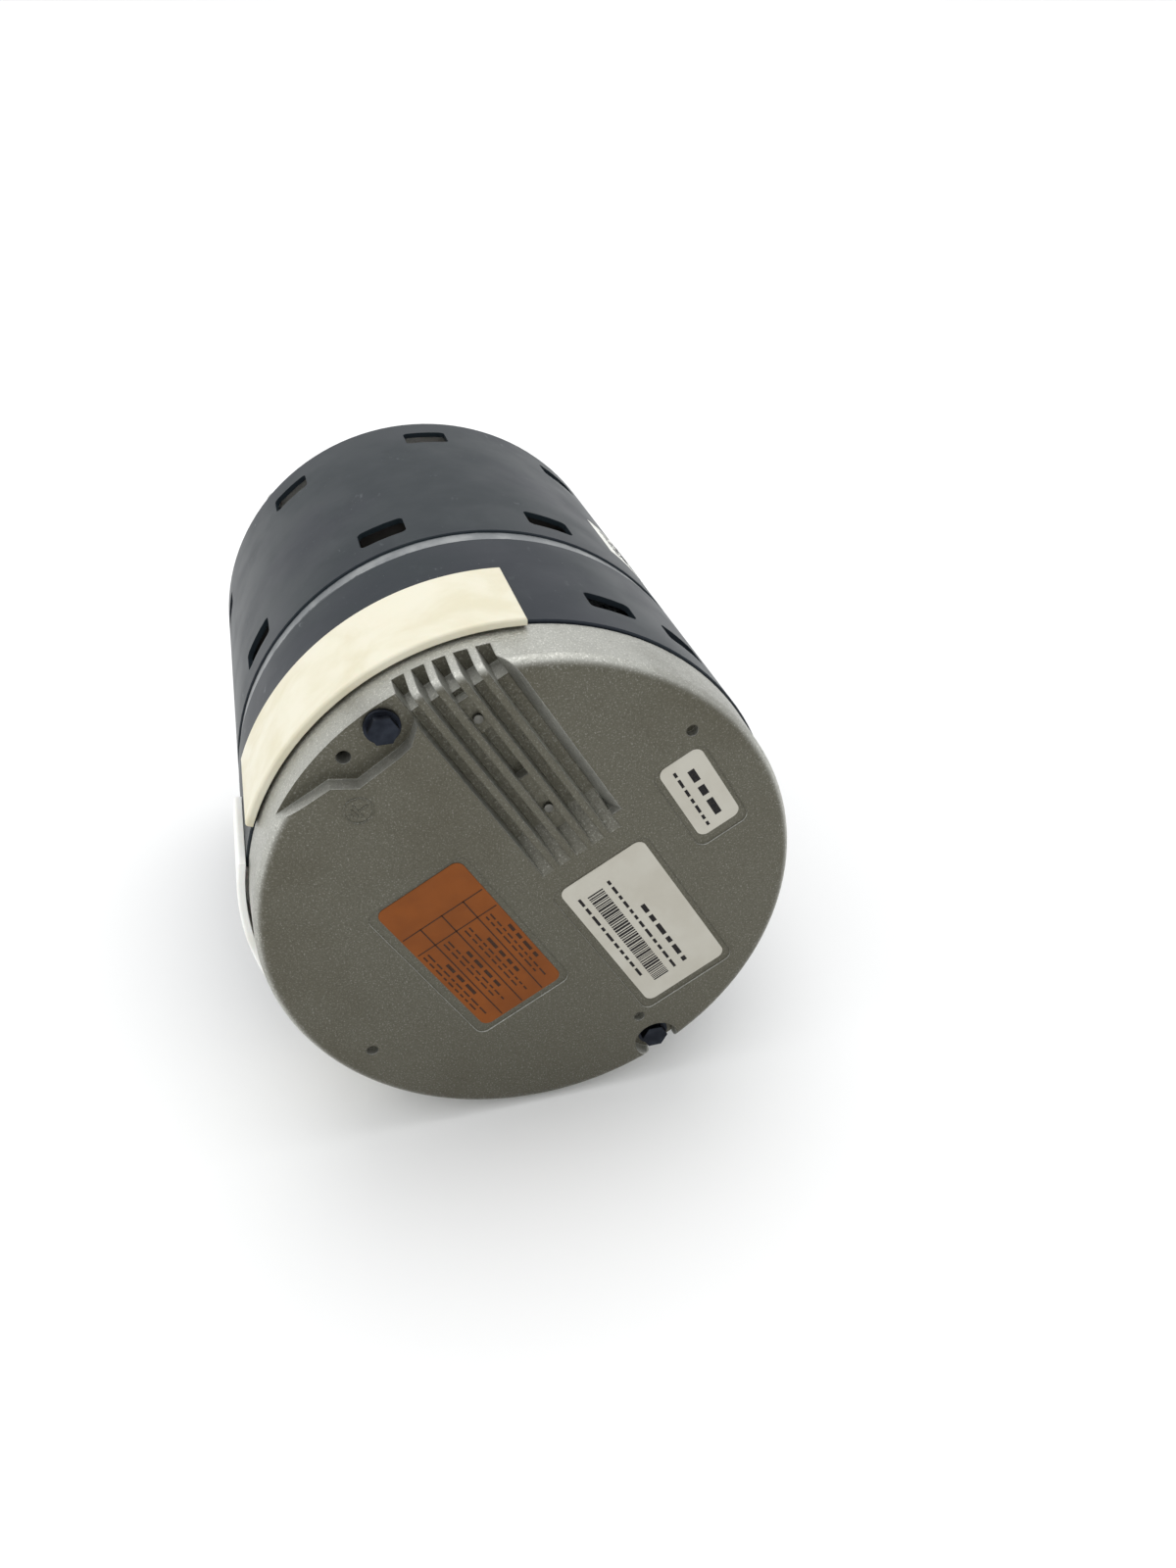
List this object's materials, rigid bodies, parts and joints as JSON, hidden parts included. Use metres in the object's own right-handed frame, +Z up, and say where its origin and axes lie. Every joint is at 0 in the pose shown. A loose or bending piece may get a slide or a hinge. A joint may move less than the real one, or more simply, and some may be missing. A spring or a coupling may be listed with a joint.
{
  "type": "electronically commutated blower motor",
  "caption": "Cylindrical blower motor with a flatted shaft, vented painted shell, bolted electronic control module, finned cast end cap and side cable sockets.",
  "frame": {"origin": "on the shaft axis, midway along the motor shell between its two rows of vents, where a belly band grips it", "axes": "+Y along the shaft towards the drive end, +Z up, +X to the right seen from the control end"},
  "size_m": [0.1418, 0.3008, 0.1417],
  "materials": {
    "cap_casting": "fine cast grain, dull",
    "bare_casting": "machined casting, satin",
    "shell_paint": "semi-gloss slate grey enamel",
    "cream_plastic": "moulded, slightly mottled",
    "white_plastic": "moulded nylon",
    "black_rubber": "matt",
    "orange_label": "printed film, no lettering",
    "white_label": "printed film, no lettering",
    "black_steel": "black oxide",
    "bright_steel": "zinc plated",
    "race_steel": "ground bearing steel",
    "shaft_steel": "turned and ground",
    "lamination": "varnished laminations",
    "magnet": "ground ferrite",
    "copper": "enamelled copper wire",
    "green_board": "solder resist",
    "dark_parts": "moulded electronics",
    "lead_sleeve": "silicone insulation",
    "brass_pins": "tin over brass"
  },
  "bodies": {
    "housing": {"control_end_cap": "cap_casting", "cap_gasket": "black_rubber", "control_shell": "shell_paint", "terminal_cover": "cream_plastic", "connector_housing": "white_plastic", "power_pins": "brass_pins", "signal_pins": "brass_pins", "warning_label": "orange_label", "rating_label": "white_label", "small_label": "white_label", "shell_label": "white_label", "mid_end_shield": "bare_casting", "motor_shell": "shell_paint", "drive_end_shield": "bare_casting", "control_bolts": "black_steel", "through_bolts": "bright_steel", "rear_bearing_outer_race": "race_steel", "rear_bearing_shields": "bright_steel", "front_bearing_outer_race": "race_steel", "front_bearing_shields": "bright_steel", "preload_spring": "bright_steel", "stator_core": "lamination", "rear_stator_insulator": "white_plastic", "front_stator_insulator": "white_plastic", "winding_phase_a": "copper", "winding_phase_b": "copper", "winding_phase_c": "copper", "phase_leads": "lead_sleeve", "phase_plug": "white_plastic", "control_board": "green_board", "board_standoffs": "bright_steel", "board_screws": "bright_steel", "bus_capacitors": "dark_parts", "line_choke": "copper", "film_capacitor": "cream_plastic", "control_chips": "dark_parts", "thermal_pad": "white_plastic", "power_module": "dark_parts", "module_clamp": "bright_steel", "module_rivets": "bright_steel"},
    "rotor": {"shaft": "shaft_steel", "shaft_retaining_ring": "black_steel", "rotor_hub": "bare_casting", "rotor_isolator": "black_rubber", "rotor_core": "lamination", "rotor_magnets": "magnet", "shaft_slinger": "black_rubber", "rear_bearing_inner_race": "race_steel", "front_bearing_inner_race": "race_steel"},
    "rear_ball_set": {"rear_bearing_balls": "race_steel", "rear_bearing_cage": "bright_steel"},
    "front_ball_set": {"front_bearing_balls": "race_steel", "front_bearing_cage": "bright_steel"}
  },
  "joints": [
    {"name": "rotor_spin", "type": "hinge", "parent": "housing", "child": "rotor", "pos_m": [0, 0, 0], "axis": [0, 1, 0], "continuous": true},
    {"name": "rear_ball_orbit", "type": "hinge", "parent": "housing", "child": "rear_ball_set", "pos_m": [0, -0.04935, 0], "axis": [0, 1, 0], "continuous": true},
    {"name": "front_ball_orbit", "type": "hinge", "parent": "housing", "child": "front_ball_set", "pos_m": [0, 0.04665, 0], "axis": [0, 1, 0], "continuous": true}
  ],
  "couplings": [
    {"joint": "rear_ball_orbit", "follows": "rotor_spin", "ratio": 0.38351},
    {"joint": "front_ball_orbit", "follows": "rotor_spin", "ratio": 0.38351}
  ]
}
